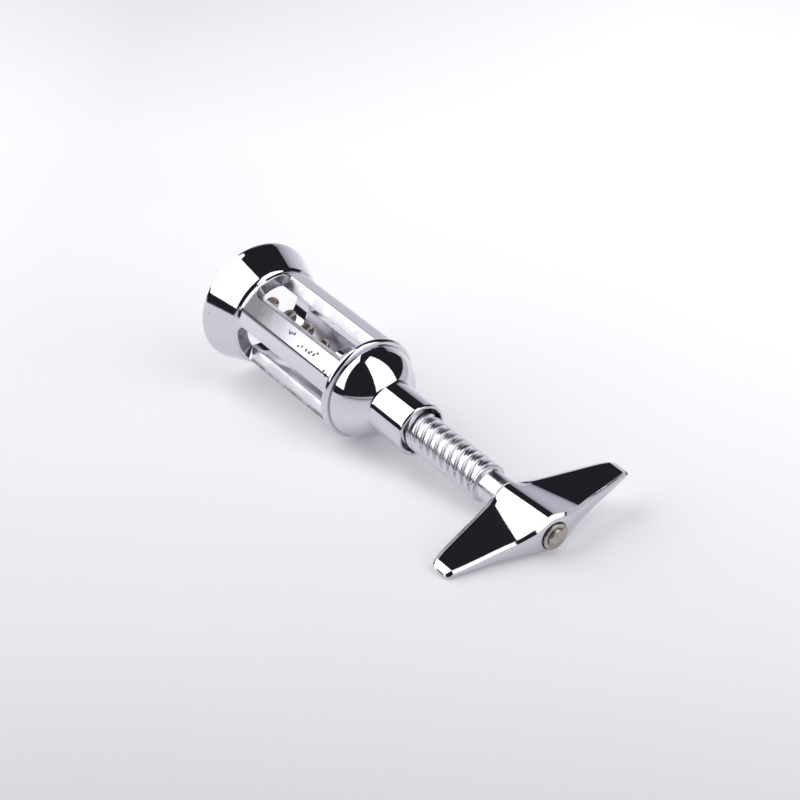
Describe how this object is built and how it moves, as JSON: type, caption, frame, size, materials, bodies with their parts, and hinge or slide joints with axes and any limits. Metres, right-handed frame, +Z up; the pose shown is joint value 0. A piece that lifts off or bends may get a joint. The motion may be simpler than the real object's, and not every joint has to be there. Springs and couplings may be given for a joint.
{
  "type": "bell corkscrew",
  "caption": "Chromed bell-and-cage corkscrew with a domed top, a threaded spindle, a winged T-handle and a steel worm inside the open cage.",
  "frame": {"origin": "the middle of the tool's footprint, on the surface it lies on", "axes": "+X runs along the tool from the bell mouth towards the handle, whose axis tips 7.37 degrees below +X; +Z is up; the tool lies on the cage's rim bead, the hub of the handle and the wing on the -Y side"},
  "size_m": [0.1472, 0.0646, 0.0435],
  "materials": {
    "cage_chrome": "bright plated casting with a few small plating pits",
    "dome_chrome": "bright plated",
    "spindle_chrome": "bright plated thread, slightly worn on its crests",
    "handle_chrome": "bright plated casting",
    "ring_chrome": "bright plated",
    "worm_steel": "drawn steel wire, warm brown-grey",
    "washer_steel": "nickelled steel, warm",
    "bush_brass": "turned brass"
  },
  "bodies": {
    "body": {"bell_cage": "cage_chrome", "dome_cap": "dome_chrome", "thread_bush": "bush_brass"},
    "carrier": {"top_washer": "washer_steel"},
    "screw": {"spindle": "spindle_chrome", "stop_collar": "ring_chrome", "worm": "worm_steel", "t_handle": "handle_chrome"}
  },
  "joints": [
    {"name": "screw_advance", "type": "slide", "parent": "body", "child": "carrier", "axis": [-0.9917, 0, 0.1283], "range_m": [-0.01692, 0.03762]},
    {"name": "handle_turn", "type": "hinge", "parent": "carrier", "child": "screw", "pos_m": [0.06178, 0, 0.00662], "axis": [-0.9917, 0, 0.1283], "range_deg": [-664.9, 1479.3]}
  ],
  "couplings": [
    {"joint": "screw_advance", "follows": "handle_turn", "m_per_rad": 0.0014563}
  ]
}
